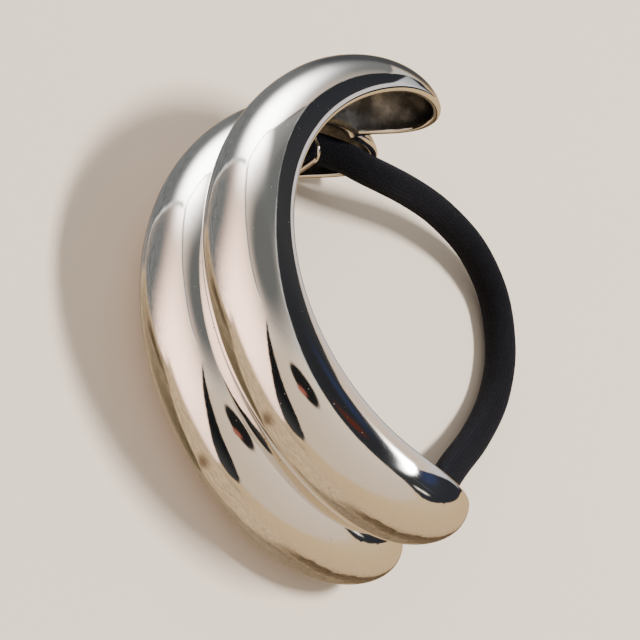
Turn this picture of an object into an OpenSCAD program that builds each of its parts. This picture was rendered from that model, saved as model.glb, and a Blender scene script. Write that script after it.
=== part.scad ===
// A ponytail cuff: two domed bands of polished metal, hollow at the back, run side by side
// round most of a half circle. A knitted elastic hair tie is threaded through a wire bail
// in each arm of the lower band, so that it closes the cuff round a ponytail.
// The cuff lies on its side: its axis is Z, the arms reach towards +Y, the lower band's
// edge stands on Z = 0. The origin is below the middle of the cuff's box.

/* [Cuff] */
// Radius of the round space that the cuff's rims stand around
rim_r = 27; // [22:0.5:34]
// Angle from the middle of the cuff round to each arm's tip
arm_angle = 93; // [75:1:105]
// Thickness of the cast metal
wall = 1.1; // [0.8:0.1:1.5]

/* [Bands] */
// Width of one band, along the cuff's axis
band_w = 13.9; // [12:0.1:17]
// How far the two bands run into each other at their rims
band_overlap = 1; // [0.8:0.1:2]
// Height of the domes over the rims, at the middle of the cuff
dome_h_mid = 7.3; // [6.5:0.1:10]
// Height that the domes would reach at the tips, if they didn't slope down to them
dome_h_arm = 8.7; // [6.5:0.1:10]
// Length of each band's rounded tip, along the rim
tip_len = 11.7; // [7:0.1:14]
// Length over which each dome slopes down to its tip, along the rim
slope_len = 18.5; // [14:0.5:24]

/* [Bails] */
// Thickness of the bail's wire
bail_wire_d = 0.8; // [0.6:0.1:1.2]
// Distance from an arm's tip back to its bail, along the rim
bail_back = 11.6; // [7:0.1:14]
// How deep the bail holds the middle of the elastic behind the rims
bail_depth = 1.5; // [1:0.1:2.4]
// How far the bail holds the elastic off the band's middle, towards the other band
bail_shift = 0.7; // [0:0.1:1.2]
// Free space between the elastic and the bail's wire
bail_gap = 0.4; // [0.2:0.05:0.6]
// Radius of the bend at the bail's two corners
bail_bend_r = 1.5; // [1:0.1:2]

/* [Elastic] */
// Thickness of the knitted elastic
elastic_d = 4; // [3:0.1:4.4]

/* [Hidden] */

dome_steps = 16;
arm_steps = 24;
tip_steps = 6;
// The last section of a tip is this far round its quarter ellipse, and a small flat ends it
tip_last = 87;
wire_sides = 8;
bend_steps = 4;
elastic_sides = 12;
// How far a cutting shape reaches past the surface that it opens
cut = 1;
// A tip's section is never taken as narrower than this share of the full width
least_share = 0.01;

band_pitch = band_w - band_overlap;
lower_z = band_w / 2;
upper_z = lower_z + band_pitch;
degree_len = rim_r * PI / 180;
tip_from = arm_angle - tip_len / degree_len;
slope_from = arm_angle - slope_len / degree_len;
hollow_angle = arm_angle - wall / degree_len;

// The ridge between the two hollows: half the width of its flat nose, how far its sides
// slope up on either side of it, and half the width over which they do
ridge_nose = 0.5 * wall;
ridge_rise = 0.5 * wall;
ridge_half_w = 1.6 * wall;

// The bail stands across the elastic, in the plane of its own section
bail_angle = arm_angle - bail_back / degree_len;
bail_r = rim_r + bail_depth;
bail_z = lower_z + bail_shift;
bail_reach = elastic_d / 2 + bail_gap + bail_wire_d / 2;

// The elastic's centre line, in mm: out of the bail in the -X arm, down to the surface and
// round the open side, in through the bail in the +X arm, and back along the lower hollow
ELASTIC_ROUTE = [
    [-26.5, 5.9, 7.6], [-26.5, 8.1, 8.2], [-26, 10.1, 8.9], [-25.4, 12.1, 9.5],
    [-24.8, 14.1, 9.7], [-24.5, 16.9, 9.6], [-24.8, 23, 8.1], [-24.7, 30.3, 5.7],
    [-22.2, 37, 3.7], [-18.1, 40.6, 2.5], [-11.6, 41.8, 2], [-3.9, 40.4, 2],
    [4.7, 35.6, 2.8], [10.3, 30.9, 4.1], [15.6, 26.4, 5.9], [19.9, 22.1, 7.7],
    [23, 17.6, 9.2], [24.7, 13.7, 9.7], [25.4, 12, 9.5], [26, 10.1, 8.9],
    [26.5, 8.1, 8.2], [26.5, 5.9, 7.6], [25.1, 1.1, 6.8], [22.2, -3.5, 6.2],
    [17.9, -7.7, 5.8], [12.3, -11.1, 5.3], [6.3, -13, 5], [0, -13.7, 5],
    [-6.3, -13, 5], [-12.3, -11.1, 5.3], [-17.9, -7.7, 5.8], [-22.2, -3.5, 6.2],
    [-25.1, 1.1, 6.8]
];

// A quarter ellipse: 1 up to the angle from, and down to 0 at reach
function ended(angle, from, reach) =
    let (along = (abs(angle) - from) / (reach - from))
    along <= 0 ? 1 : sqrt(max(0, 1 - along * along));

// How much of its full width, and of its full height, a band still has at an angle
function width_share(angle, reach) = ended(angle, tip_from, reach);
function height_share(angle, reach) = ended(angle, slope_from, reach);

function dome_h(angle) =
    dome_h_mid + (dome_h_arm - dome_h_mid) * pow(angle / arm_angle, 2);

// Height over the rims of the crease where the two domes meet
function crease_h(angle) =
    let (across = band_pitch / (band_w * max(width_share(angle, arm_angle), least_share)))
    across >= 1 ? 0 : dome_h(angle) * height_share(angle, arm_angle) * sqrt(1 - across * across);

// Angles of the sections, closer together round the tips
function stations(reach) =
    let (tip = [for (i = [1:tip_steps]) tip_from + (reach - tip_from) * sin(tip_last * i / tip_steps)])
    concat(
        [for (i = [tip_steps - 1:-1:0]) -tip[i]],
        [for (i = [0:arm_steps]) tip_from * (2 * i / arm_steps - 1)],
        tip
    );

// Section of a dome as [radius, z] points, inset from the outer face, with its foot at foot_r
function dome_section(angle, reach, inset, foot_r) =
    let (
        half_w = (band_w / 2 - inset) * width_share(angle, reach),
        height = (dome_h(angle) - inset) * height_share(angle, reach)
    )
    concat(
        foot_r < rim_r ? [[foot_r, -half_w]] : [],
        [for (i = [0:dome_steps])
            let (turn = 180 * i / dome_steps)
            [rim_r + height * sin(turn), -half_w * cos(turn)]],
        foot_r < rim_r ? [[foot_r, half_w]] : []
    );

// Section of the space under the crease that joins the two hollows
function ridge_section(angle) =
    let (nose_r = rim_r + crease_h(angle) - wall, foot_r = rim_r - wall - cut)
    [
        [foot_r, -ridge_half_w],
        [nose_r + ridge_rise, -ridge_half_w],
        [nose_r, -ridge_nose],
        [nose_r, ridge_nose],
        [nose_r + ridge_rise, ridge_half_w],
        [foot_r, ridge_half_w]
    ];

// A [radius, z] point of a section turned to its place round the cuff's axis
function placed(point, angle, z) =
    [point[0] * sin(angle), axis_y - point[0] * cos(angle), point[1] + z];

// The arms' foremost and the back's rearmost points centre the box on the origin
arms_y = max([for (angle = stations(arm_angle), p = dome_section(angle, arm_angle, 0, rim_r))
    -p[0] * cos(angle)]);
axis_y = (rim_r + dome_h_mid - arms_y) / 2;

// A solid through equal rings of points, with a flat end on the first and the last
module skin(rings) {
    size = len(rings[0]);
    last = len(rings) - 1;
    points = [for (ring = rings, point = ring) point];
    sides = [for (i = [0:last - 1], j = [0:size - 1])
        let (next = (j + 1) % size)
        [i * size + j, i * size + next, (i + 1) * size + next, (i + 1) * size + j]];
    first_end = [for (j = [size - 1:-1:0]) j];
    last_end = [for (j = [0:size - 1]) last * size + j];
    polyhedron(points, concat([first_end], sides, [last_end]), convexity = 8);
}

// One band's dome, filled down to foot_r
module dome(reach, inset, foot_r, z) {
    skin([for (angle = stations(reach))
        [for (point = dome_section(angle, reach, inset, foot_r)) placed(point, angle, z)]]);
}

module crease_space() {
    skin([for (angle = stations(hollow_angle))
        [for (point = ridge_section(angle)) placed(point, angle, (lower_z + upper_z) / 2)]]);
}

// Centre line of the bail as [radius, z] points: up one leg, across the elastic, down the other
function bail_line() =
    let (
        turn_r = bail_r - bail_reach + bail_bend_r,
        turn_z = bail_reach - bail_bend_r
    )
    concat(
        [[bail_foot_r(-bail_reach), -bail_reach]],
        [for (i = [0:bend_steps])
            let (turn = 90 * i / bend_steps)
            [turn_r - bail_bend_r * sin(turn), -turn_z - bail_bend_r * cos(turn)]],
        [for (i = [bend_steps:-1:0])
            let (turn = 90 * i / bend_steps)
            [turn_r - bail_bend_r * sin(turn), turn_z + bail_bend_r * cos(turn)]],
        [[bail_foot_r(bail_reach), bail_reach]]
    );

// Where a leg ends, halfway through the metal over it
function bail_foot_r(z) =
    let (
        half_w = (band_w - wall) / 2 * width_share(bail_angle, arm_angle),
        height = (dome_h(bail_angle) - wall / 2) * height_share(bail_angle, arm_angle)
    )
    rim_r + height * sqrt(1 - pow((z + bail_shift) / half_w, 2));

module bail(angle) {
    line = [for (point = bail_line()) placed(point, angle, bail_z)];
    for (i = [0:len(line) - 2])
        hull() {
            translate(line[i]) sphere(d = bail_wire_d, $fn = wire_sides);
            translate(line[i + 1]) sphere(d = bail_wire_d, $fn = wire_sides);
        }
}

module cuff() {
    color("silver") {
        difference() {
            union() {
                dome(arm_angle, 0, rim_r, lower_z);
                dome(arm_angle, 0, rim_r, upper_z);
            }
            dome(hollow_angle, wall, rim_r - cut, lower_z);
            dome(hollow_angle, wall, rim_r - cut, upper_z);
            crease_space();
        }
        bail(-bail_angle);
        bail(bail_angle);
    }
}

// A tube round a closed route
module tube(route, d, sides) {
    n = len(route);
    rings = [for (i = [0:n - 1])
        let (
            ahead = route[(i + 1) % n] - route[(i + n - 1) % n],
            forward = ahead / norm(ahead),
            side = cross(forward, [0, 0, 1]) / norm(cross(forward, [0, 0, 1])),
            up = cross(side, forward)
        )
        [for (j = [0:sides - 1])
            let (turn = 360 * (j + 0.5) / sides)
            route[i] + d / 2 * (side * cos(turn) + up * sin(turn))]];
    points = [for (ring = rings, point = ring) point];
    faces = [for (i = [0:n - 1], j = [0:sides - 1])
        let (next_ring = (i + 1) % n, next = (j + 1) % sides)
        [i * sides + j, i * sides + next, next_ring * sides + next, next_ring * sides + j]];
    polyhedron(points, faces, convexity = 6);
}

module elastic() {
    color("black") tube(ELASTIC_ROUTE, elastic_d, elastic_sides);
}

cuff();
elastic();
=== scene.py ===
"""A ponytail cuff: two hollow, domed bands of polished metal side by side, and the knitted
elastic that runs through a wire bail in each arm. Everything is in metres, in the same frame
as the solids: the cuff lies on its side, its axis along Z, its arms reaching towards +Y."""

import math

import bmesh
import bpy
import numpy as np
from bpy.props import FloatProperty, FloatVectorProperty, IntProperty, PointerProperty
from mathutils import Matrix, Vector


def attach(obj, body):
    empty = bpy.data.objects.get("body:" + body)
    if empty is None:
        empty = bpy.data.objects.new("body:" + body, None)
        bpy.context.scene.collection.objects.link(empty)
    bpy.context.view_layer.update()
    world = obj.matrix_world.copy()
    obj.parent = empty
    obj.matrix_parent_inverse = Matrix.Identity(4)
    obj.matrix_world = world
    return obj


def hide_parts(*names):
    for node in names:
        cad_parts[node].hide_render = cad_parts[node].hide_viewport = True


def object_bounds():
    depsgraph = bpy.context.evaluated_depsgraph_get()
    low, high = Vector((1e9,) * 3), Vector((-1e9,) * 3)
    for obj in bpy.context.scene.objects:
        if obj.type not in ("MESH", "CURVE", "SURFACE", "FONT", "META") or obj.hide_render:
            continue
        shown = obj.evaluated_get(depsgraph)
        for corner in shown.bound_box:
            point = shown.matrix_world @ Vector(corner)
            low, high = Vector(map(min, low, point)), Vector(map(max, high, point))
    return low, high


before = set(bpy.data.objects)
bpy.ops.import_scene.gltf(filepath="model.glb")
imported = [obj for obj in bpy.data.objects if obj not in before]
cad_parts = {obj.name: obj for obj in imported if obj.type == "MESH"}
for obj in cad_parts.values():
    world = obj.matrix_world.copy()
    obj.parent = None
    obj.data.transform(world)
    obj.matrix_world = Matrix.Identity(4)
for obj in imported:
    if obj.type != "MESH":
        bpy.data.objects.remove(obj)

bl_info = {
    "name": "Ponytail Cuff",
    "version": (1, 0, 0),
    "blender": (4, 5, 0),
    "location": "View3D > Sidebar > Ponytail Cuff",
    "description": "Builds a domed double-band ponytail cuff with its knitted elastic",
    "category": "Object",
}

MM = 0.001
BODY = "root"
SOLID_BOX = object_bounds()

# The elastic's centre line, in metres: out of the bail in the -X arm, down to the surface and
# round the open side, in through the bail in the +X arm, and back along the lower hollow
ELASTIC_ROUTE = [
    (-0.0265, 0.0059, 0.0076), (-0.0265, 0.0081, 0.0082), (-0.0260, 0.0101, 0.0089),
    (-0.0254, 0.0121, 0.0095), (-0.0248, 0.0141, 0.0097), (-0.0245, 0.0169, 0.0096),
    (-0.0248, 0.0230, 0.0081), (-0.0247, 0.0303, 0.0057), (-0.0222, 0.0370, 0.0037),
    (-0.0181, 0.0406, 0.0025), (-0.0116, 0.0418, 0.0020), (-0.0039, 0.0404, 0.0020),
    (0.0047, 0.0356, 0.0028), (0.0103, 0.0309, 0.0041), (0.0156, 0.0264, 0.0059),
    (0.0199, 0.0221, 0.0077), (0.0230, 0.0176, 0.0092), (0.0247, 0.0137, 0.0097),
    (0.0254, 0.0120, 0.0095), (0.0260, 0.0101, 0.0089), (0.0265, 0.0081, 0.0082),
    (0.0265, 0.0059, 0.0076), (0.0251, 0.0011, 0.0068), (0.0222, -0.0035, 0.0062),
    (0.0179, -0.0077, 0.0058), (0.0123, -0.0111, 0.0053), (0.0063, -0.0130, 0.0050),
    (0.0000, -0.0137, 0.0050), (-0.0063, -0.0130, 0.0050), (-0.0123, -0.0111, 0.0053),
    (-0.0179, -0.0077, 0.0058), (-0.0222, -0.0035, 0.0062), (-0.0251, 0.0011, 0.0068),
]


def length(name, description, default, low, high):
    return FloatProperty(name=name, description=description, default=default, min=low, max=high,
                         unit="LENGTH", precision=5)


def angle(name, description, degrees):
    return FloatProperty(name=name, description=description, default=math.radians(degrees),
                         subtype="ANGLE", unit="ROTATION")


def colour(name, description, default):
    return FloatVectorProperty(name=name, description=description, default=default, size=3,
                               min=0, max=1, subtype="COLOR")


class CuffSettings(bpy.types.PropertyGroup):
    """Sizes of the metal cuff"""
    rim_radius: length("Rim radius", "Radius of the round space that the rims stand around",
                       0.027, 0.022, 0.034)
    arm_angle: angle("Arm angle", "Angle from the cuff's middle round to each tip", 93)
    wall: length("Wall", "Thickness of the cast metal", 0.0011, 0.0008, 0.0015)
    band_width: length("Band width", "Width of one band", 0.0139, 0.012, 0.017)
    band_overlap: length("Band overlap", "How far the bands run into each other",
                         0.001, 0.0008, 0.002)
    dome_middle: length("Dome at the middle", "Height of the domes at the cuff's middle",
                        0.0073, 0.0065, 0.01)
    dome_arm: length("Dome at the arms", "Height that the domes would reach at the tips",
                     0.0087, 0.0065, 0.01)
    tip_length: length("Tip length", "Length of each rounded tip", 0.0117, 0.007, 0.014)
    slope_length: length("Slope length", "Length over which each dome slopes down to its tip",
                         0.0185, 0.014, 0.024)
    rim_round: length("Rim rounding", "Rounding of the rim's outer edge", 0.0006, 0.0001, 0.0007)
    mouth_round: length("Mouth rounding", "Rounding of the rim's inner edge",
                        0.00038, 0.0001, 0.0005)
    ridge_round: length("Ridge rounding", "Rounding of the ridge between the two hollows",
                        0.00075, 0.0003, 0.001)
    crease_fill: length("Crease fill", "How softly the two domes run together",
                        0.0003, 0.00005, 0.0006)
    wire: length("Bail wire", "Thickness of the bails' wire", 0.0008, 0.0006, 0.0012)
    bail_back: length("Bail place", "Distance from a tip back to its bail", 0.0116, 0.007,
                      0.014)
    bail_depth: length("Bail depth", "How deep the bail holds the elastic behind the rims",
                       0.0015, 0.001, 0.0024)
    bail_shift: length("Bail shift", "How far the bail sits off the band's middle",
                       0.0007, 0, 0.0012)
    bail_gap: length("Bail gap", "Free space between the elastic and the wire",
                     0.0004, 0.0002, 0.0006)
    bail_bend: length("Bail bend", "Radius of the bail's corners", 0.0015, 0.001, 0.002)
    solder: length("Solder", "How far the solder spreads round a bail's foot",
                   0.0005, 0, 0.001)
    metal_colour: colour("Metal colour", "Colour of the polished plating", (0.80, 0.79, 0.775))
    cast_colour: colour("Cast colour", "Colour of the metal in the hollow backs",
                        (0.125, 0.125, 0.124))


class ElasticSettings(bpy.types.PropertyGroup):
    """Sizes of the knitted elastic"""
    thickness: length("Thickness", "Thickness of the elastic", 0.004, 0.003, 0.0044)
    wales: IntProperty(name="Wales", description="Columns of stitches round the elastic",
                       default=26, min=12, max=40)
    stitch: length("Stitch", "Length of one stitch", 0.00042, 0.0002, 0.001)
    yarn_colour: colour("Yarn colour", "Colour of the yarn", (0.0045, 0.0045, 0.006))


class StageSettings(bpy.types.PropertyGroup):
    """Floor, light and camera"""
    floor_colour: colour("Floor colour", "Colour of the plain floor", (0.64, 0.56, 0.47))
    key_power: FloatProperty(name="Key light", description="Power of the key light",
                             default=22, min=0, soft_max=100, unit="POWER")
    azimuth: angle("Azimuth", "Direction in which the camera looks, from +Y towards -X", 40.9)
    elevation: angle("Elevation", "How far the camera looks down", 43.2)
    roll: angle("Roll", "How far the cuff's axis leans in the picture", 56.1)
    distance: length("Distance", "Distance of the camera from the cuff", 0.6, 0.2, 3)
    pixels_per_mm: FloatProperty(name="Pixels per millimetre",
                                 description="Scale of the picture at the cuff's middle",
                                 default=8.09, min=1, max=40)


# Shapes

def place(cuff, s, z, height):
    """Points of the cuff, from arc length along the rim, place along the axis and height."""
    turn = s / cuff.rim_radius
    r = cuff.rim_radius + height
    return np.stack([r * np.sin(turn), axis_y(cuff) - r * np.cos(turn),
                     z + np.zeros_like(r)], axis=-1)


def axis_y(cuff):
    """The axis stands where the middle of the cuff's box is on the origin."""
    turn = np.linspace(0, cuff.arm_angle, 400)
    rise = dome_height(cuff, turn * cuff.rim_radius) * height_share(cuff, turn * cuff.rim_radius)
    arms_y = max(np.max(-(cuff.rim_radius + rise) * np.cos(turn)),
                 np.max(-cuff.rim_radius * np.cos(turn)))
    return (cuff.rim_radius + cuff.dome_middle - arms_y) / 2


def straight_reach(cuff):
    """Arc length from the middle to where the rounded tips begin."""
    return cuff.arm_angle * cuff.rim_radius - cuff.tip_length


def ended(cuff, s, length_of_end, inset=0.0):
    """A quarter ellipse: 1 up to where an arm's end begins, and down to 0 at its tip."""
    left = cuff.arm_angle * cuff.rim_radius - inset - np.abs(s)
    along = 1 - np.clip(left / (length_of_end - inset), 0, 1)
    return np.sqrt(1 - along ** 2)


def width_share(cuff, s):
    """How much of its full width a band has at an arc length."""
    return ended(cuff, s, cuff.tip_length)


def height_share(cuff, s):
    """How much of its dome's height a band has at an arc length."""
    return ended(cuff, s, cuff.slope_length)


def slope_share(cuff, s, inset=0.0):
    """How much lower a section is than if its dome sloped down over the rounded tip alone."""
    tip, slope = cuff.tip_length - inset, cuff.slope_length - inset
    left = np.maximum(cuff.arm_angle * cuff.rim_radius - inset - np.abs(s), 0)
    in_tip = tip / slope * (2 - left / slope) / (2 - np.minimum(left / tip, 1))
    return np.where(left < tip, np.sqrt(np.maximum(in_tip, 0)),
                    ended(cuff, s, cuff.slope_length, inset))


def dome_height(cuff, s):
    """Height of the dome, before its end slopes down, growing from the middle to the arms."""
    share = s / (cuff.arm_angle * cuff.rim_radius)
    return cuff.dome_middle + (cuff.dome_arm - cuff.dome_middle) * share ** 2


def ease(x):
    """Rises softly from 0 to 1."""
    x = np.clip(x, 0, 1)
    return x * x * (3 - 2 * x)


def rim_stations(cuff, along_steps, tip_steps, notch_steps):
    """Stations round one band's rim: the arc length where a section starts, and its direction
    in plan as (along, across). The other band lies towards +across."""
    reach = straight_reach(cuff)
    notch = math.asin((cuff.band_width - cuff.band_overlap) / cuff.band_width)
    turn = np.concatenate([np.linspace(-math.pi / 2, notch, tip_steps + 1)[:-1],
                           np.linspace(notch, math.pi / 2, notch_steps + 1)])
    straight = np.linspace(-reach, reach, along_steps + 1)[1:-1]
    start = np.concatenate([straight, np.full(len(turn), reach), straight[::-1],
                            np.full(len(turn), -reach)])
    along = np.concatenate([0 * straight, np.cos(turn), 0 * straight, -np.cos(turn[::-1])])
    across = np.concatenate([0 * straight - 1, np.sin(turn), 0 * straight + 1,
                             np.sin(turn[::-1])])
    return start, along, across


def smooth_max(a, b, soft):
    """The larger of two values, with the bend between them rounded."""
    return (a + b + np.sqrt((a - b) ** 2 + soft ** 2)) / 2


class Band:
    """The skin of one band. Its rows run from the crest of the dome over the rim to the crest
    of the hollow, each as (arc length, across, height) at the stations round the rim. The
    other band lies towards +across."""
    dome_count, round_count, land_count, mouth_count, hollow_count = 38, 6, 2, 6, 26

    def __init__(self, cuff):
        self.cuff = cuff
        self.half, self.tip = cuff.band_width / 2, cuff.tip_length
        self.pitch = cuff.band_width - cuff.band_overlap
        self.start, self.along, self.across = rim_stations(
            cuff, along_steps=168, tip_steps=44, notch_steps=14)

        # Stations that point into the other band
        clip = self.pitch / cuff.band_width
        self.joined = self.across >= clip - 1e-9

        # The dome's lowest row is at the crease, or at the rim's rounding, which runs out towards
        # the crease over this share of the half width
        run_out = 0.11
        self.rounding = cuff.rim_round * np.where(
            self.across > 0, ease((clip - self.across) / run_out), 1.0)
        rim_s = self.start + self.tip * self.along
        full = dome_height(cuff, rim_s) * slope_share(cuff, rim_s)
        self.low = np.where(self.joined,
                            np.arccos(np.minimum(1, clip / np.maximum(self.across, clip))),
                            np.arcsin(self.rounding / full))
        self.edge = self.surface(0, self.low)

        # The ridge between the two hollows has its nose a wall's thickness under the crease,
        # and blends into the rims where the crease comes down to them
        blend, sunk = 0.3 * MM, 0.02 * MM
        nose = smooth_max(self.edge[2] - cuff.wall, 0, blend) - sunk
        self.nose = np.where(self.joined, np.maximum(0, nose), 0)

    def surface(self, inset, rise):
        """A row of the dome, or of the hollow if inset, at an angle of rise over the rim."""
        s = self.start + (self.tip - inset) * np.cos(rise) * self.along
        z = (self.half - inset) * np.cos(rise) * self.across
        full = (dome_height(self.cuff, s) - inset) * slope_share(self.cuff, s, inset)
        return np.stack([s, z, full * np.sin(rise)])

    def dome(self):
        """Rows from the crest down to the rim's rounding or the crease, which is filled softly.
        They crowd towards the crease."""
        cuff, rows = self.cuff, []
        crowd = 1 + 0.7 * ease((self.across - 0.6) / 0.3)
        # All rows but the last keep this far from the other band's, so that they don't merge
        apart = 0.002 * MM
        for i in range(self.dome_count + 1):
            share = (1 - i / self.dome_count) ** crowd
            s, z, height = self.surface(0, self.low + (math.pi / 2 - self.low) * share)
            if i < self.dome_count:
                z = np.minimum(z, self.pitch / 2 - apart)
            mirrored = 1 - ((s - self.start) / self.tip) ** 2 - (
                (self.pitch - z) / self.half) ** 2
            other = dome_height(cuff, s) * slope_share(cuff, s) * np.sqrt(
                np.maximum(0, mirrored))
            soft = smooth_max(height, other, np.minimum(cuff.crease_fill, 0.5 * other))
            rows.append(np.stack([s, z, np.where(self.joined, soft, height)]))
        return rows

    def rim(self):
        """Rows round the rim's outer edge. Joined stations go from the crease to the ridge."""
        s, z, crease = self.edge
        rows = []
        for i in range(1, self.round_count + 1):
            turn = math.pi / 2 * i / self.round_count
            inward = np.where(self.joined, 0, self.rounding * (1 - math.cos(turn)))
            height = np.where(self.joined, crease, self.rounding * (1 - math.sin(turn)))
            if i == self.round_count:
                height = self.nose
            rows.append(np.stack([s - self.along * inward, z - self.across * inward, height]))
        return rows

    def mouth(self, foot):
        """Rows over the flat land of the rim and round the corner between it and the hollow's
        wall, and the angle of rise at which the wall begins. The ridge's corner is rounder."""
        cuff, wall = self.cuff, self.cuff.wall
        # The ridge's rounding is full where its nose is this high, and a corner takes at most
        # this share of the land
        full_ridge, widest = 0.8 * MM, 0.85
        corner = cuff.mouth_round + (cuff.ridge_round - cuff.mouth_round) * ease(
            self.nose / full_ridge)
        mouth_s = self.start + (self.tip - wall) * self.along
        full = (dome_height(cuff, mouth_s) - wall) * slope_share(cuff, mouth_s, wall)
        rise = np.arcsin((self.nose + corner) / full)
        on_wall = self.surface(wall, rise)
        slope = np.stack([(self.tip - wall) * np.sin(rise) * self.along,
                          (self.half - wall) * np.sin(rise) * self.across,
                          -full * np.cos(rise)])
        sharp = on_wall + slope * (on_wall[2] - self.nose) / -slope[2]
        back = foot - sharp
        on_land = sharp + back * np.minimum(widest, corner / np.linalg.norm(back[:2], axis=0))
        rows = [foot + (on_land - foot) * i / self.land_count
                for i in range(1, self.land_count + 1)]
        for i in range(1, self.mouth_count + 1):
            t = i / self.mouth_count
            rows.append(on_land * (1 - t) ** 2 + sharp * 2 * t * (1 - t) + on_wall * t ** 2)
        return rows, rise

    def grid(self):
        rows = self.dome() + self.rim()
        mouth, rise = self.mouth(rows[-1])
        hollow = [self.surface(self.cuff.wall, rise + (math.pi / 2 - rise) * i / self.hollow_count)
                  for i in range(1, self.hollow_count + 1)]
        return np.stack(rows + mouth + hollow).transpose(0, 2, 1)


def mesh_object(name, points, faces, uv, materials, slots=None):
    """A smooth-shaded object from points, faces, one UV per point and a material per face."""
    mesh = bpy.data.meshes.new(name)
    mesh.from_pydata([tuple(p) for p in points], [], [tuple(f) for f in faces])
    layer = mesh.uv_layers.new(name="UVMap")
    corners = np.empty(len(mesh.loops), dtype=np.int32)
    mesh.loops.foreach_get("vertex_index", corners)
    layer.data.foreach_set("uv", np.asarray(uv, dtype=np.float32)[corners].ravel())
    for material in materials:
        mesh.materials.append(material)
    if slots is not None:
        mesh.polygons.foreach_set("material_index", np.asarray(slots, dtype=np.int32))
    thing = bpy.data.objects.new(name, mesh)
    bpy.context.scene.collection.objects.link(thing)
    return thing


def finish_mesh(thing, merge=1e-6, sharp_degrees=40):
    """Joins the points that lie on each other, and shades the faces smooth between creases."""
    work = bmesh.new()
    work.from_mesh(thing.data)
    bmesh.ops.remove_doubles(work, verts=work.verts, dist=merge)
    bmesh.ops.recalc_face_normals(work, faces=work.faces)
    work.to_mesh(thing.data)
    work.free()
    thing.data.shade_smooth()
    thing.data.set_sharp_from_angle(angle=math.radians(sharp_degrees))


def cuff_shell(cuff, materials):
    """Both bands as one closed shell: polished outside and on the rims, cast in the hollows
    and on the ridge between them."""
    band = Band(cuff)
    grid = band.grid()
    rows, columns = grid.shape[:2]
    rim_from, rim_to = band.dome_count, band.dome_count + band.round_count
    ridge_from = rim_to + band.land_count
    hollow_from = ridge_from + band.mouth_count
    lower = cuff.band_width / 2
    points, faces, slots, uv = [], [], [], []
    step = np.linalg.norm(np.diff(grid, axis=0), axis=2)
    across = np.concatenate([np.zeros((1, columns)), np.cumsum(step, axis=0)])
    for flip in (False, True):
        z = lower + band.pitch - grid[..., 1] if flip else lower + grid[..., 1]
        first = len(points)
        points.extend(place(cuff, grid[..., 0], z, grid[..., 2]).reshape(-1, 3))
        uv.extend(np.stack([grid[..., 0], across], axis=-1).reshape(-1, 2) / MM)
        for i in range(rows - 1):
            for j in range(columns):
                k = (j + 1) % columns
                joined = band.joined[j] and band.joined[k]
                if joined and rim_from <= i < rim_to:
                    continue
                face = [first + i * columns + j, first + i * columns + k,
                        first + (i + 1) * columns + k, first + (i + 1) * columns + j]
                faces.append(face[::-1] if flip else face)
                slots.append(0 if i < (ridge_from if joined else hollow_from) else 1)
    shell = mesh_object("metal_bands", points, faces, uv, materials, slots)
    finish_mesh(shell)
    return shell


def unit(vectors):
    return vectors / np.linalg.norm(vectors, axis=-1, keepdims=True)


def tube_rings(line, radii, turns, closed):
    """Rings of points round a line, at turns in radians, with a radius for each ring or each
    turn. A closed line runs upright nowhere, and an open one lies in a plane."""
    if closed:
        ahead = unit(np.roll(line, -1, axis=0) - np.roll(line, 1, axis=0))
        side = unit(np.cross(ahead, [0, 0, 1]))
    else:
        ahead = unit(np.gradient(line, axis=0))
        middle = line[len(line) // 2]
        side = np.broadcast_to(unit(np.cross(line[-1] - line[0], middle - line[0])), line.shape)
    up = np.cross(side, ahead)
    return line[:, None] + radii[..., None] * (
        side[:, None] * np.cos(turns)[None, :, None] + up[:, None] * np.sin(turns)[None, :, None])


def closed_line(points, count, fine_steps=24, smoothings=6):
    """A smooth closed line through points, with its points spaced evenly."""
    points = np.array(points)
    n, fine = len(points), []
    for i in range(n):
        a, b, c, d = (points[(i + k) % n] for k in (-1, 0, 1, 2))
        ab, bc, cd = (max(np.linalg.norm(q - p), 1e-9) for p, q in ((a, b), (b, c), (c, d)))
        out = bc * ((b - a) / ab * bc + (c - b) / bc * ab) / (ab + bc)
        into = bc * ((c - b) / bc * cd + (d - c) / cd * bc) / (bc + cd)
        for t in np.linspace(0, 1, fine_steps, endpoint=False):
            fine.append((2 * t ** 3 - 3 * t ** 2 + 1) * b + (t ** 3 - 2 * t ** 2 + t) * out
                        + (3 * t ** 2 - 2 * t ** 3) * c + (t ** 3 - t ** 2) * into)
    fine = np.array(fine + fine[:1])
    run = np.concatenate([[0], np.cumsum(np.linalg.norm(np.diff(fine, axis=0), axis=1))])
    even = np.linspace(0, run[-1], count, endpoint=False)
    line = np.stack([np.interp(even, run, fine[:, k]) for k in range(3)], axis=-1)
    for _ in range(smoothings):
        line = (np.roll(line, 1, axis=0) + 2 * line + np.roll(line, -1, axis=0)) / 4
    return line


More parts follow.
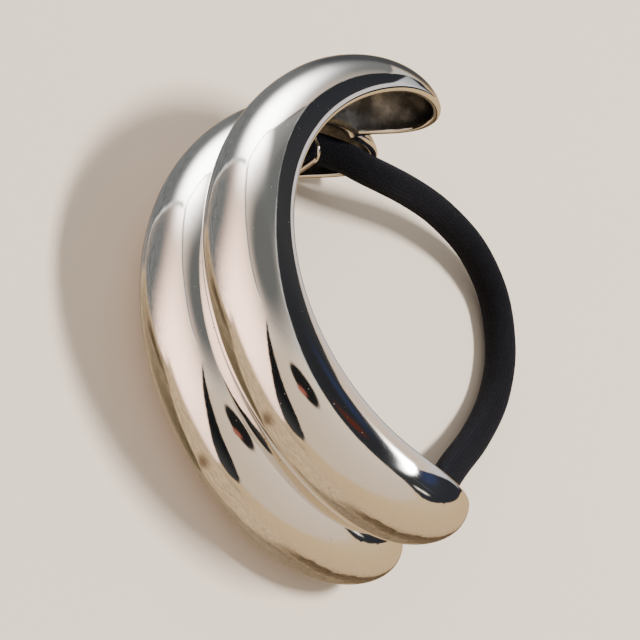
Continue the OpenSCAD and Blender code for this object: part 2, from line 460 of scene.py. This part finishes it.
def elastic_tube(elastic, material):
    """The knitted tube, with its wales raised a little, the line that it follows, and that
    line's length."""
    line = closed_line(ELASTIC_ROUTE, count=480)
    line[:, 2] = np.maximum(line[:, 2], elastic.thickness / 2)
    run = np.linalg.norm(np.roll(line, -1, axis=0) - line, axis=1).sum()
    sunk, raised, points_a_wale = 0.05 * MM, 0.04 * MM, 4
    around = elastic.wales * points_a_wale
    turns = np.arange(around + 1) / around
    radii = elastic.thickness / 2 - sunk + raised * np.cos(2 * np.pi * turns * elastic.wales)
    rings = tube_rings(line, radii[None], 2 * np.pi * turns, closed=True)
    rings = np.concatenate([rings, rings[:1]])
    count = len(line)
    run_mm = np.arange(count + 1) * run / count / MM
    uv = np.stack(np.broadcast_arrays(run_mm[:, None], turns[None]), axis=-1).reshape(-1, 2)
    width = around + 1
    faces = [(i * width + j, (i + 1) * width + j, (i + 1) * width + j + 1, i * width + j + 1)
             for i in range(count) for j in range(around)]
    thing = mesh_object("knitted_elastic", rings.reshape(-1, 3), faces, uv, [material])
    finish_mesh(thing, sharp_degrees=180)
    return thing, line, run


def bail_line(cuff, elastic, bend_steps=10, leg_steps=13):
    """The bail's centre line as (height, across) round the elastic, from hollow to hollow, its
    arc length from the cuff's middle, and the heights of its two feet."""
    reach = elastic.thickness / 2 + cuff.bail_gap + cuff.wire / 2
    back = straight_reach(cuff) + cuff.tip_length - cuff.bail_back
    half = (cuff.band_width - cuff.wall) / 2 * width_share(cuff, back)
    high = (dome_height(cuff, back) - cuff.wall / 2) * height_share(cuff, back)
    feet = [high * math.sqrt(1 - ((z + cuff.bail_shift) / half) ** 2) for z in (-reach, reach)]

    top, turn_z = cuff.bail_depth - reach + cuff.bail_bend, reach - cuff.bail_bend
    turn = np.linspace(0, math.pi / 2, bend_steps + 1)
    height = top - cuff.bail_bend * np.sin(turn)
    across = turn_z + cuff.bail_bend * np.cos(turn)
    leg = np.linspace(0, 1, leg_steps + 1)[:-1]
    down = [feet[0] + (top - feet[0]) * leg, -reach + 0 * leg]
    up = [feet[1] + (top - feet[1]) * leg[::-1], reach + 0 * leg]
    line = np.concatenate([np.stack(down, -1), np.stack([height, -across], -1),
                           np.stack([height, across], -1)[::-1], np.stack(up, -1)])
    return line, back, feet


def bail(cuff, elastic, name, end, material, sides=16):
    """One wire bail, its feet spreading into the hollow's wall with solder."""
    line, back, feet = bail_line(cuff, elastic)
    z = cuff.band_width / 2 + cuff.bail_shift + line[:, 1]
    points = place(cuff, end * back, z, line[:, 0])
    # The solder thins out over this height under the hollow's wall
    fall = 0.35 * MM
    at_foot = np.where(np.arange(len(line)) < len(line) // 2, *feet) - cuff.wall / 2
    gap = np.maximum(at_foot - line[:, 0], 0)
    radii = cuff.wire / 2 + cuff.solder * np.exp(-gap / fall)
    rings = tube_rings(points, radii[:, None], 2 * np.pi * np.arange(sides) / sides,
                       closed=False)
    last = len(points) - 1
    faces = [(i * sides + j, i * sides + (j + 1) % sides,
              (i + 1) * sides + (j + 1) % sides, (i + 1) * sides + j)
             for i in range(last) for j in range(sides)]
    faces += [tuple(range(sides))[::-1], tuple(last * sides + j for j in range(sides))]
    # The rings stand about this many millimetres apart
    ring_step = 0.3
    uv = [(i * ring_step, j / sides) for i in range(last + 1) for j in range(sides)]
    thing = mesh_object(name, rings.reshape(-1, 3), faces, uv, [material])
    finish_mesh(thing, sharp_degrees=60)
    return thing


# Finishes

class Nodes:
    """Short calls for the nodes of a tree."""

    def __init__(self, tree):
        self.tree = tree

    def add(self, kind, inputs=(), **settings):
        node = self.tree.nodes.new("ShaderNode" + kind)
        for name, value in settings.items():
            setattr(node, name, value)
        for name, value in dict(inputs).items():
            socket = node.inputs[name]
            if isinstance(value, bpy.types.NodeSocket):
                self.tree.links.new(value, socket)
            else:
                socket.default_value = value
        return node

    def math(self, operation, *values, clamp=False):
        return self.add("Math", dict(enumerate(values)), operation=operation,
                        use_clamp=clamp).outputs[0]

    def noise(self, where, scale, detail=3, rough=0.5):
        return self.add("TexNoise", {"Vector": where, "Scale": scale, "Detail": detail,
                                     "Roughness": rough}).outputs["Fac"]

    def cells(self, where, scale):
        """Distance from the middle of the nearest of many scattered cells."""
        return self.add("TexVoronoi", {"Vector": where, "Scale": scale}).outputs["Distance"]

    def stretch(self, where, scale):
        return self.add("Mapping", {"Vector": where, "Scale": scale}).outputs["Vector"]

    def ramp(self, value, *stops):
        node = self.add("ValToRGB", {"Fac": value})
        ramp = node.color_ramp
        while len(ramp.elements) < len(stops):
            ramp.elements.new(0.5)
        for element, (position, tint) in zip(ramp.elements, stops):
            element.position = position
            element.color = (*tint, 1)
        return node.outputs["Color"]

    def grey(self, value, *stops):
        return self.ramp(value, *((p, (v, v, v)) for p, v in stops))

    def mix(self, share, a, b, blend="MIX"):
        node = self.add("Mix", {"Factor": share}, data_type="RGBA", blend_type=blend)
        for socket, value in ((node.inputs[6], a), (node.inputs[7], b)):
            if isinstance(value, bpy.types.NodeSocket):
                self.tree.links.new(value, socket)
            else:
                socket.default_value = (*value, 1)
        return node.outputs[2]

    def bump(self, height, distance, strength=1.0, normal=None):
        inputs = {"Height": height, "Distance": distance, "Strength": strength}
        if normal is not None:
            inputs["Normal"] = normal
        return self.add("Bump", inputs).outputs["Normal"]


class Finish(Nodes):
    """A material under construction."""

    def __init__(self, name):
        self.material = bpy.data.materials.new(name)
        self.material.use_nodes = True
        super().__init__(self.material.node_tree)
        self.shader = self.tree.nodes["Principled BSDF"]

    def set(self, **values):
        for name, value in values.items():
            self.shader.inputs[name.replace("_", " ")].default_value = value

    def link(self, socket, name):
        self.tree.links.new(socket, self.shader.inputs[name])


class Surroundings(Nodes):
    """The studio round the cuff, as the polished metal mirrors it: each light wall, panel and
    dark card has its compass bearing from +Y towards +X, and its elevation, in degrees.
    Bearings wrap round opposite the middle one."""
    middle = -155

    def __init__(self, tree):
        super().__init__(tree)
        self.way = way = self.add("TexCoord").outputs["Generated"]
        turn = math.radians(self.middle)
        side = self.dot(way, (math.cos(turn), -math.sin(turn), 0))
        ahead = self.dot(way, (math.sin(turn), math.cos(turn), 0))
        height = self.add("SeparateXYZ", {0: way}).outputs["Z"]
        self.bearing = self.degrees(self.math("ARCTAN2", side, ahead))
        self.elevation = self.degrees(self.math("ARCSINE", height))
        self.colour = None

    def dot(self, a, b):
        return self.add("VectorMath", {0: a, 1: b}, operation="DOT_PRODUCT").outputs["Value"]

    def degrees(self, value):
        return self.math("MULTIPLY", value, math.degrees(1))

    def from_middle(self, bearing):
        """A bearing as degrees clockwise of the middle one."""
        return (bearing - self.middle + 180) % 360 - 180

    def turned(self, bearing):
        """How far clockwise of a bearing, from -180 to 180."""
        off = self.math("SUBTRACT", self.bearing, float(self.from_middle(bearing)))
        return self.math("WRAP", off, 180.0, -180.0)

    def step(self, value, start, end):
        """Rises smoothly from 0 to 1 as the value goes from start to end."""
        low, high = min(start, end), max(start, end)
        share = self.add("MapRange", {"Value": value, "From Min": low, "From Max": high},
                         interpolation_type="SMOOTHSTEP").outputs["Result"]
        return share if start < end else self.math("SUBTRACT", 1.0, share)

    def both(self, a, b):
        return self.math("MULTIPLY", a, b)

    def oval(self, bearing, elevation, half_width, half_height, lean=0, soft=0.15):
        """An oval patch, leaning clockwise."""
        c, s = math.cos(math.radians(lean)), math.sin(math.radians(lean))
        x = self.turned(bearing)
        y = self.math("SUBTRACT", self.elevation, float(elevation))
        far = []
        for across, along, half in ((c, -s, half_width), (s, c, half_height)):
            part = self.math("ADD", self.math("MULTIPLY", x, across / half),
                             self.math("MULTIPLY", y, along / half))
            far.append(self.math("MULTIPLY", part, part))
        return self.step(self.math("SQRT", self.math("ADD", *far)), 1 + soft, 1 - soft)

    def wall(self, left, right, soft=4):
        """From one bearing to the next, clockwise, at all elevations."""
        half = (right - left) % 360 / 2
        off = self.math("ABSOLUTE", self.turned(left + half))
        return self.step(off, half + soft, half - soft)

    def inside(self, value, low, high, soft):
        """Where a value lies between two others."""
        return self.both(self.step(value, low - soft, low + soft),
                         self.step(value, high + soft, high - soft))

    def between(self, low, high, soft=4):
        """From one elevation up to the next, at all bearings."""
        return self.inside(self.elevation, low, high, soft)

    def along(self, value, whole, *stops):
        """Colours set out along a value that runs half the whole to either side of 0."""
        share = self.math("MULTIPLY_ADD", value, 1 / whole, 0.5)
        return self.ramp(share, *sorted((at / whole + 0.5, tint) for at, tint in stops))

    def by_elevation(self, *stops):
        return self.along(self.elevation, 180, *stops)

    def level(self, value, whole, other_whole, points):
        """A second value as it changes along the first, through points of both."""
        share = self.along(value, whole, *(
            (at, (other / other_whole + 0.5,) * 3) for at, other in points))
        return self.math("MULTIPLY", self.math("SUBTRACT", share, 0.5), float(other_whole))

    def over(self, *edge):
        """How far above an edge through points of bearing and elevation."""
        points = [(self.from_middle(bearing), elevation) for bearing, elevation in edge]
        return self.math("SUBTRACT", self.elevation, self.level(self.bearing, 360, 180, points))

    def beside(self, *edge):
        """How far clockwise of an edge through points of bearing and elevation."""
        points = [(elevation, self.from_middle(bearing)) for bearing, elevation in edge]
        return self.math("SUBTRACT", self.bearing, self.level(self.elevation, 180, 360, points))

    def line(self, distance, width):
        """A soft line where a distance is 0."""
        return self.step(self.math("ABSOLUTE", distance), width, 0)

    def put(self, mask, *masks_and_colour):
        """Lays a colour over what is there, within all the masks."""
        *masks, colour = masks_and_colour
        for other in masks:
            mask = self.both(mask, other)
        self.colour = self.mix(mask, self.colour, colour)

    def glow(self, bearing, elevation, half_width, half_height, power):
        """Adds the light of a lamp."""
        x = self.math("DIVIDE", self.turned(bearing), half_width)
        y = self.math("DIVIDE", self.math("SUBTRACT", self.elevation, elevation), half_height)
        far = self.math("ADD", self.math("MULTIPLY", x, x), self.math("MULTIPLY", y, y))
        fall = self.math("EXPONENT", self.math("MULTIPLY", self.math("POWER", far, 1.5), -1.0))
        light = self.add("VectorMath", {0: (1.0, 0.97, 0.94),
                                        "Scale": self.math("MULTIPLY", fall, power)},
                         operation="SCALE").outputs["Vector"]
        self.colour = self.mix(1.0, self.colour, light, "ADD")


def polished_metal(cuff):
    """Bright plating, polished by hand: long soft waves, faint polishing lines, a few dull
    specks, and sunken pits, nearly black in colour, that crowd along the crease."""
    f = Finish("polished_metal")
    f.set(Metallic=1.0)
    uv = f.add("UVMap").outputs[0]
    where = f.add("TexCoord").outputs["Object"]
    height = f.add("SeparateXYZ", {0: where}).outputs["Z"]
    off = f.math("ABSOLUTE", f.math("SUBTRACT", height, cuff.band_width - cuff.band_overlap / 2))
    crease = f.math("SUBTRACT", 1.0, f.math("DIVIDE", off, 1.5 * MM), clamp=True)
    waves = f.noise(where, 120, 1)
    dents = f.math("MULTIPLY", f.noise(where, 650, 2), f.math("MULTIPLY_ADD", crease, 0.8, 0.5))
    lines = f.noise(f.stretch(uv, (0.10, 14, 1)), 1.0, 4, 0.6)
    # Pits with a nearly black colour, set more thickly the nearer they are to the crease
    pits = f.math("LESS_THAN", f.cells(where, 900), f.math("MULTIPLY", crease, 0.14))
    specks = f.math("LESS_THAN", f.cells(where, 1100), 0.06)
    lifted = f.bump(waves, 0.04 * MM, 0.6)
    lifted = f.bump(dents, 0.006 * MM, 0.5, lifted)
    lifted = f.bump(lines, 0.0022 * MM, 0.5, lifted)
    f.link(f.bump(pits, 0.05 * MM, 0.8, lifted), "Normal")
    wear = f.grey(lines, (0.35, 0.03), (0.8, 0.075))
    f.link(f.mix(specks, wear, (0.3, 0.3, 0.3)), "Roughness")
    bright = f.mix(f.noise(where, 260, 3), cuff.metal_colour,
                   tuple(0.95 * c for c in cuff.metal_colour))
    f.link(f.mix(pits, bright, (0.05, 0.045, 0.04)), "Base Color")
    return f.material


def cast_metal(cuff):
    """The hollow backs and the ridge between them: plated as cast, dull and blotchy."""
    f = Finish("cast_metal")
    f.set(Metallic=1.0)
    where = f.add("TexCoord").outputs["Object"]
    blotch = f.noise(where, 330, 5, 0.6)
    fine = f.noise(where, 2600, 4, 0.6)
    f.link(f.ramp(blotch, (0.36, (0.06, 0.06, 0.061)), (0.52, tuple(cuff.cast_colour)),
                  (0.68, (0.24, 0.24, 0.238))), "Base Color")
    f.link(f.grey(blotch, (0.35, 0.52), (0.7, 0.3)), "Roughness")
    f.link(f.bump(fine, 0.04 * MM, 0.6, f.bump(blotch, 0.15 * MM, 0.5)), "Normal")
    return f.material


def knitted_yarn(elastic):
    """Fine knit in V-shaped stitches, of matte yarn with a soft sheen, its colour painted
    darker in the valleys between the stitches' strands.
    """
    f = Finish("knitted_yarn")
    f.set(Roughness=0.9, Specular_IOR_Level=0.18, Sheen_Weight=0.04, Sheen_Roughness=0.45,
          Sheen_Tint=(0.55, 0.65, 1.0, 1))
    parts = f.add("SeparateXYZ", {0: f.add("UVMap").outputs[0]})
    column = f.math("FRACT", f.math("MULTIPLY", parts.outputs["Y"], float(elastic.wales)))
    leg = f.math("ABSOLUTE", f.math("SUBTRACT", column, 0.5))
    course = f.math("DIVIDE", parts.outputs["X"], elastic.stitch / MM)
    slant = f.math("FRACT", f.math("ADD", course, f.math("MULTIPLY", leg, 1.5)))
    strand = f.math("SUBTRACT", 1.0, f.math("ABSOLUTE", f.math("SUBTRACT", slant, 0.5)))
    valley = f.math("SINE", f.math("MULTIPLY", leg, math.pi))
    height = f.math("MULTIPLY", strand, f.math("SUBTRACT", 1.0,
                                                f.math("MULTIPLY", valley, 0.35)))
    where = f.add("TexCoord").outputs["Object"]
    fuzz = f.noise(where, 5200, 4, 0.7)
    f.link(f.bump(fuzz, 0.06 * MM, 0.5, f.bump(height, 0.2 * MM, 0.8)), "Normal")
    # Painted shade: the yarn is darker in the valleys between the raised strands and lighter on
    # them, and the fuzz also varies its tone at random
    fuzz_tone_and_stitch_shade = f.mix(f.math("MULTIPLY", f.grey(fuzz, (0.35, 0.0), (0.75, 1.0)), height),
                 tuple(0.55 * c for c in elastic.yarn_colour),
                 tuple(1.9 * c for c in elastic.yarn_colour))
    f.link(fuzz_tone_and_stitch_shade, "Base Color")
    return f.material


def floor_finish(stage):
    f = Finish("pale_floor")
    f.set(Roughness=0.85)
    where = f.add("TexCoord").outputs["Object"]
    f.link(f.mix(f.noise(where, 40, 3), stage.floor_colour,
                 tuple(0.97 * c for c in stage.floor_colour)), "Base Color")
    return f.material


# Pieces

class PONYTAIL_OT_bands(bpy.types.Operator):
    """Make the two domed bands as one polished shell with hollow backs"""
    bl_idname = "ponytail.bands"
    bl_label = "Metal bands"

    def execute(self, context):
        cuff = context.scene.ponytail_cuff
        shell = cuff_shell(cuff, [polished_metal(cuff), cast_metal(cuff)])
        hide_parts("cuff")
        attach(shell, BODY)
        return {"FINISHED"}


class PONYTAIL_OT_bails(bpy.types.Operator):
    """Solder a wire bail into each arm of the lower band"""
    bl_idname = "ponytail.bails"
    bl_label = "Wire bails"

    def execute(self, context):
        cuff, elastic = context.scene.ponytail_cuff, context.scene.ponytail_elastic
        metal = bpy.data.materials["polished_metal"]
        for name, end in (("bail_left", -1), ("bail_right", 1)):
            wire = bail(cuff, elastic, name, end, metal)
            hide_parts("cuff")
            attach(wire, BODY)
        return {"FINISHED"}


class PONYTAIL_OT_elastic(bpy.types.Operator):
    """Knit the elastic along its route through both bails"""
    bl_idname = "ponytail.elastic"
    bl_label = "Knitted elastic"

    def execute(self, context):
        elastic = context.scene.ponytail_elastic
        loop, line, run = elastic_tube(elastic, knitted_yarn(elastic))
        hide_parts("elastic")
        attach(loop, BODY)
        return {"FINISHED"}


class PONYTAIL_OT_stage(bpy.types.Operator):
    """Set the floor, the light and the camera"""
    bl_idname = "ponytail.stage"
    bl_label = "Stage"

    def execute(self, context):
        stage = context.scene.ponytail_stage
        mesh = bpy.data.meshes.new("floor")
        half = 1.5
        mesh.from_pydata([(-half, -half, 0), (half, -half, 0), (half, half, 0),
                          (-half, half, 0)], [], [(0, 1, 2, 3)])
        mesh.materials.append(floor_finish(stage))
        floor = bpy.data.objects.new("floor", mesh)
        context.scene.collection.objects.link(floor)
        floor.visible_glossy = False
        light_room(context.scene, stage)
        aim_camera(context.scene, stage)
        return {"FINISHED"}


def put_far_ground(n, uneven):
    """Warm ground under a warm room, with an uneven shaded stretch to one side."""
    n.colour = n.by_elevation(
        (-90, (0.50, 0.35, 0.20)), (-74, (0.42, 0.31, 0.19)), (-57, (0.34, 0.24, 0.14)),
        (-32, (0.74, 0.50, 0.28)), (-24, (0.90, 0.62, 0.34)), (5, (0.96, 0.66, 0.345)),
        (60, (1.10, 0.82, 0.52)))
    wavy = n.math("ADD", n.elevation, n.math("MULTIPLY", uneven, 22.0))
    n.put(n.wall(-30, 98, 8), n.inside(wavy, -50, -34, 2.5), n.along(
        wavy, 180, (-50, (0.27, 0.18, 0.10)), (-36, (0.175, 0.115, 0.064))))


def put_walls(n):
    """A pale wall to the right, one over the two panels with two dim patches, and a low one."""
    n.put(n.wall(57, 169, 4), n.step(n.over((57, 36), (90, 17), (130, -8), (150, -24)), -5, 5),
          n.by_elevation((-30, (0.95, 0.75, 0.55)), (20, (1.03, 0.79, 0.57)),
                         (55, (1.15, 0.90, 0.67)), (76, (1.35, 1.08, 0.82))))
    n.put(n.wall(167, -60, 5), n.step(n.elevation, -20, -10),
          n.by_elevation((35, (1.3, 1.05, 0.85)), (60, (1.05, 0.88, 0.72)),
                         (76, (1.1, 0.98, 0.85))))
    n.put(n.oval(-140, 52, 44, 22, soft=0.5), (0.185, 0.186, 0.178))
    n.put(n.oval(-98, 50, 24, 14, soft=0.45), (0.20, 0.203, 0.197))
    n.put(n.wall(-62, -20, 4), n.between(-1, 20, 3), (0.86, 0.80, 0.72))


def put_panels(n, slit):
    """Two bright panels, parted by a split: the left one ends at the slit and under a seam,
    and the right one is grey, with a lamp's glow behind its upper part and a fold over it."""
    seam = n.over((170, 40), (-178, 36), (-165, 31), (-150, 25.5), (-138, 19), (-130, 14),
                  (-124, 10))
    n.put(n.step(slit, -1, 1), n.wall(128, -60, 1), n.step(seam, 0.6, -0.6),
          n.by_elevation((-45, (0.75, 0.58, 0.44)), (-25, (1.9, 1.35, 1.05)),
                         (-5, (2.3, 1.6, 1.22)), (20, (2.1, 1.5, 1.15)),
                         (34, (1.2, 0.95, 0.75))))
    n.put(n.oval(-179, -10, 27, 31, soft=0.85), n.step(slit, -1, 1), (4.6, 3.0, 2.3))
    split = n.beside((-104, -48), (-114, -38), (-120, -25), (-123, -10), (-125, 10))
    n.put(n.step(split, -0.5, 0.5), n.wall(-130, -60, 1), n.between(-60, 27, 14),
          (0.235, 0.24, 0.235))
    n.glow(-107, 9, 21, 18, 15.0)
    n.glow(-113, 27, 15, 13, 0.7)
    n.put(n.oval(-133, -33, 24, 33, lean=-12, soft=0.7), n.step(split, 0.5, -0.5),
          (0.25, 0.252, 0.245))
    n.put(n.oval(-58, -17, 19, 16, soft=0.35), (0.095, 0.096, 0.10))
    # Light and dark lines along the split, the seam and the fold
    n.put(n.line(split, 2.0), n.between(-50, 8, 3), (1.2, 1.15, 1.06))
    n.put(n.line(n.math("ADD", seam, -0.4), 1.1), n.wall(-176, -124, 2), (1.9, 1.7, 1.5))
    n.put(n.line(n.math("ADD", seam, -2.4), 2.0), n.wall(-172, -124, 3), (0.36, 0.33, 0.30))
    fold = n.over((-124, 11), (-116, 15), (-109, 18), (-104, 24), (-98, 28), (-90, 31.5),
                  (-80, 33))
    n.put(n.step(fold, -0.5, 1), n.wall(-108, -78, 6), n.step(n.elevation, 50, 40),
          n.by_elevation((20, (0.64, 0.62, 0.59)), (32, (0.44, 0.425, 0.405)),
                         (46, (0.21, 0.206, 0.197))))
    n.put(n.line(fold, 1.1), n.wall(-124, -102, 2), (0.40, 0.37, 0.33))
    n.put(n.line(fold, 1.4), n.wall(-104, -82, 3), (0.13, 0.12, 0.11))


def put_near_ground(n, uneven):
    """The ground in front of the panels: shaded under its edge, and lit nearer by."""
    edge = n.over((128, -18), (140, -26), (150, -32), (165, -35), (180, -37), (-170, -42),
                  (-160, -46), (-150, -48.5), (-135, -51.5), (-120, -54), (-100, -58),
                  (-60, -60))
    edge = n.math("ADD", edge, n.math("MULTIPLY", uneven, 7.0))
    n.put(n.wall(127, -45, 4), n.step(edge, 1.2, -1.2), n.along(
        edge, 120, (-50, (0.17, 0.125, 0.068)), (-26, (0.24, 0.175, 0.098)),
        (-14, (0.40, 0.29, 0.17)), (-4, (0.62, 0.43, 0.25)), (0, (0.80, 0.56, 0.33))))
    lit = n.beside((152, -80), (160, -72), (170, -65), (178, -56), (184, -46))
    n.put(n.wall(88, 190, 14), n.step(lit, 4, -4), n.step(n.elevation, -22, -32),
          n.by_elevation((-90, (0.70, 0.48, 0.28)), (-72, (0.86, 0.60, 0.345)),
                         (-30, (0.93, 0.65, 0.38))))
    n.put(n.oval(-156, -55, 22, 3.4, lean=14, soft=0.6), (0.17, 0.118, 0.066))
    n.put(n.oval(145, -62, 3.5, 17, lean=-4, soft=0.7), (0.33, 0.21, 0.12))


def put_openings(n, slit):
    """A dark slit between the wall and the left panel, and a dark opening over it."""
    back = n.beside((136, -21), (130, -12), (131, -4), (138, 7), (146, 14), (155, 22),
                    (164, 29), (178, 38))
    n.put(n.step(back, -0.6, 0.6), n.step(slit, 0.6, -0.6), n.step(n.elevation, -20, -18.5),
          n.by_elevation((-20, (0.085, 0.082, 0.078)), (-4, (0.035, 0.035, 0.035)),
                         (6, (0.014, 0.014, 0.015))))
    n.put(n.oval(147, 52, 12.5, 10, lean=20, soft=0.1), (0.019, 0.018, 0.018))
    n.put(n.oval(145.5, 43.5, 2.2, 4.6, lean=-22, soft=0.5), (0.48, 0.15, 0.105))


def put_card(n):
    """A dark card overhead, with a paler turned edge and faint streaks of colour."""
    card = n.over((25, 28), (33, 30), (42, 33), (50, 38), (55, 45), (58, 52), (62, 59),
                  (66, 64), (72, 67.5), (85, 70.5), (130, 74), (180, 75.5), (-150, 74.5),
                  (-135, 72.5), (-120, 69.5), (-105, 64.5), (-97, 61), (-90, 56), (-87, 47),
                  (-85, 40), (-81, 32.5), (-70, 27), (-60, 21), (-52, 8), (-45, 0), (-25, -3),
                  (-12, 10), (5, 19), (20, 26))
    n.put(n.line(n.math("ADD", card, 0.9), 1.5), n.wall(140, -82, 4), (1.0, 0.98, 0.93))
    n.put(n.step(card, -0.5, 0.5), n.by_elevation(
        (30, (0.036, 0.038, 0.045)), (58, (0.055, 0.055, 0.057)), (74, (0.036, 0.037, 0.042)),
        (90, (0.03, 0.03, 0.034))))
    n.put(n.oval(4, 53, 17, 7, lean=-10, soft=0.9), (0.05, 0.066, 0.15))
    n.put(n.oval(-30, 78, 32, 4, soft=0.8), (0.038, 0.05, 0.10))
    n.put(n.oval(75, 81, 36, 2.5, soft=0.7), (0.13, 0.034, 0.022))
    n.put(n.oval(44, 47, 1.6, 8, lean=48, soft=0.5), (1.8, 1.6, 1.4))
    n.put(n.oval(33, 52, 1.0, 11, lean=30, soft=0.6), (0.10, 0.11, 0.14))


def put_lights(n):
    """A strip of light at the card's edge, and the key lamp as a small glint."""
    strip = n.beside((-19, 5), (-17, 20), (-15, 30), (-12, 40), (-8, 50), (0, 62))
    strip_end = n.beside((-52, 8), (-52, 46), (-48, 58), (-38, 70))
    n.put(n.wall(-60, 10, 1.5), n.step(strip, 1, -1), n.step(strip_end, -1, 1),
          n.between(8, 69.5, 1.2),
          n.by_elevation((8, (0.45, 0.45, 0.47)), (32, (1.05, 1.02, 1.08)),
                         (50, (1.1, 0.94, 0.84)), (62, (1.15, 0.88, 0.67))))
    n.glow(11, 67, 22, 2.7, 40)
    n.glow(11, 67, 34, 5, 0.5)


def put_mottling(n):
    """Mottles the ground finely, and more coarsely nearer by."""
    for scale, top, bottom, levels in ((60, 12, -22, ((0.3, 0.72), (0.7, 1.25))),
                                       (24, -12, -45, ((0.35, 0.55), (0.65, 1.4)))):
        mottle = n.grey(n.noise(n.way, scale, 5, 0.75), *levels)
        n.colour = n.mix(n.step(n.elevation, top, bottom), n.colour,
                         n.mix(1.0, n.colour, mottle, "MULTIPLY"))


def studio_world():
    """The mirrored studio, which only glossy rays see, and a soft even light for the rest."""
    world = bpy.data.worlds.new("studio")
    world.use_nodes = True
    n = Surroundings(world.node_tree)
    uneven = n.math("SUBTRACT", n.noise(n.way, 5, 5, 0.65), 0.5)
    slit = n.beside((140, -20), (147, -10), (152, 0), (158, 11), (165, 21), (178, 38))
    put_far_ground(n, uneven)
    put_walls(n)
    put_panels(n, slit)
    put_near_ground(n, uneven)
    put_openings(n, slit)
    put_card(n)
    put_lights(n)
    put_mottling(n)
    mirrored = n.tree.nodes["Background"]
    n.tree.links.new(n.colour, mirrored.inputs["Color"])
    soft_light = n.add("Background", {"Color": (0.92, 0.86, 0.79, 1)})
    share = n.add("MixShader", {0: n.add("LightPath").outputs["Is Glossy Ray"],
                                1: soft_light.outputs[0], 2: mirrored.outputs[0]})
    n.tree.links.new(share.outputs[0], n.tree.nodes["World Output"].inputs["Surface"])
    return world


def light_room(scene, stage):
    """The studio, and a key lamp for light and shadow, which no mirror reflection shows."""
    scene.world = studio_world()
    bearing, elevation, far = math.radians(9), math.radians(67.5), 1.0
    way = Vector((math.sin(bearing) * math.cos(elevation),
                  math.cos(bearing) * math.cos(elevation), math.sin(elevation)))
    lamp = bpy.data.lights.new("key", "AREA")
    lamp.shape = "RECTANGLE"
    lamp.size, lamp.size_y = 0.26, 0.085
    lamp.energy = stage.key_power
    lamp.color = (1.0, 0.965, 0.92)
    thing = bpy.data.objects.new("key", lamp)
    thing.location = way * far
    thing.rotation_euler = (-way).to_track_quat("-Z", "Y").to_euler()
    thing.visible_glossy = False
    scene.collection.objects.link(thing)


def aim_camera(scene, stage):
    """The square picture's scale holds at the middle of the cuff's axis, which stands right of
    the picture's own middle."""
    picture, middle_x, middle_y, sensor = 640, 405.7, 332.7, 36
    across = Vector((math.cos(stage.azimuth), math.sin(stage.azimuth), 0))
    level = Vector((-math.sin(stage.azimuth), math.cos(stage.azimuth), 0))
    ahead = level * math.cos(stage.elevation) - Vector((0, 0, math.sin(stage.elevation)))
    rise = across.cross(ahead)
    right = across * math.cos(stage.roll) + rise * math.sin(stage.roll)
    up = rise * math.cos(stage.roll) - across * math.sin(stage.roll)
    middle = Vector((0, axis_y(scene.ponytail_cuff), SOLID_BOX[1].z / 2))
    pixel = MM / stage.pixels_per_mm
    aim = middle + right * (picture / 2 - middle_x) * pixel - up * (
        picture / 2 - middle_y) * pixel
    data = bpy.data.cameras.new("camera")
    data.sensor_width = sensor
    data.lens = sensor * stage.distance / (picture * pixel)
    data.clip_start = 0.05
    data.clip_end = 10
    camera = bpy.data.objects.new("camera", data)
    spin = Matrix((right, up, -ahead)).transposed()
    camera.matrix_world = Matrix.Translation(aim - ahead * stage.distance) @ spin.to_4x4()
    scene.collection.objects.link(camera)
    scene.camera = camera


class PONYTAIL_PT_panel(bpy.types.Panel):
    """Sizes and pieces of the ponytail cuff"""
    bl_idname = "PONYTAIL_PT_panel"
    bl_label = "Ponytail Cuff"
    bl_space_type = "VIEW_3D"
    bl_region_type = "UI"
    bl_category = "Ponytail Cuff"

    def draw(self, context):
        for title, group in (("Cuff", "ponytail_cuff"), ("Elastic", "ponytail_elastic"),
                             ("Stage", "ponytail_stage")):
            box = self.layout.box()
            box.label(text=title)
            settings = getattr(context.scene, group)
            for name in settings.__annotations__:
                box.prop(settings, name)
        for operator in OPERATORS:
            self.layout.operator(operator.bl_idname)


GROUPS = {"ponytail_cuff": CuffSettings, "ponytail_elastic": ElasticSettings,
          "ponytail_stage": StageSettings}
OPERATORS = (PONYTAIL_OT_stage, PONYTAIL_OT_elastic, PONYTAIL_OT_bands, PONYTAIL_OT_bails)
CLASSES = (*GROUPS.values(), *OPERATORS, PONYTAIL_PT_panel)


def register():
    for cls in CLASSES:
        bpy.utils.register_class(cls)
    for name, cls in GROUPS.items():
        setattr(bpy.types.Scene, name, PointerProperty(type=cls))


def unregister():
    for name in GROUPS:
        delattr(bpy.types.Scene, name)
    for cls in reversed(CLASSES):
        bpy.utils.unregister_class(cls)


def main():
    register()
    bpy.ops.ponytail.stage()
    bpy.ops.ponytail.elastic()
    bpy.ops.ponytail.bands()
    bpy.ops.ponytail.bails()


if __name__ == "__main__":
    main()
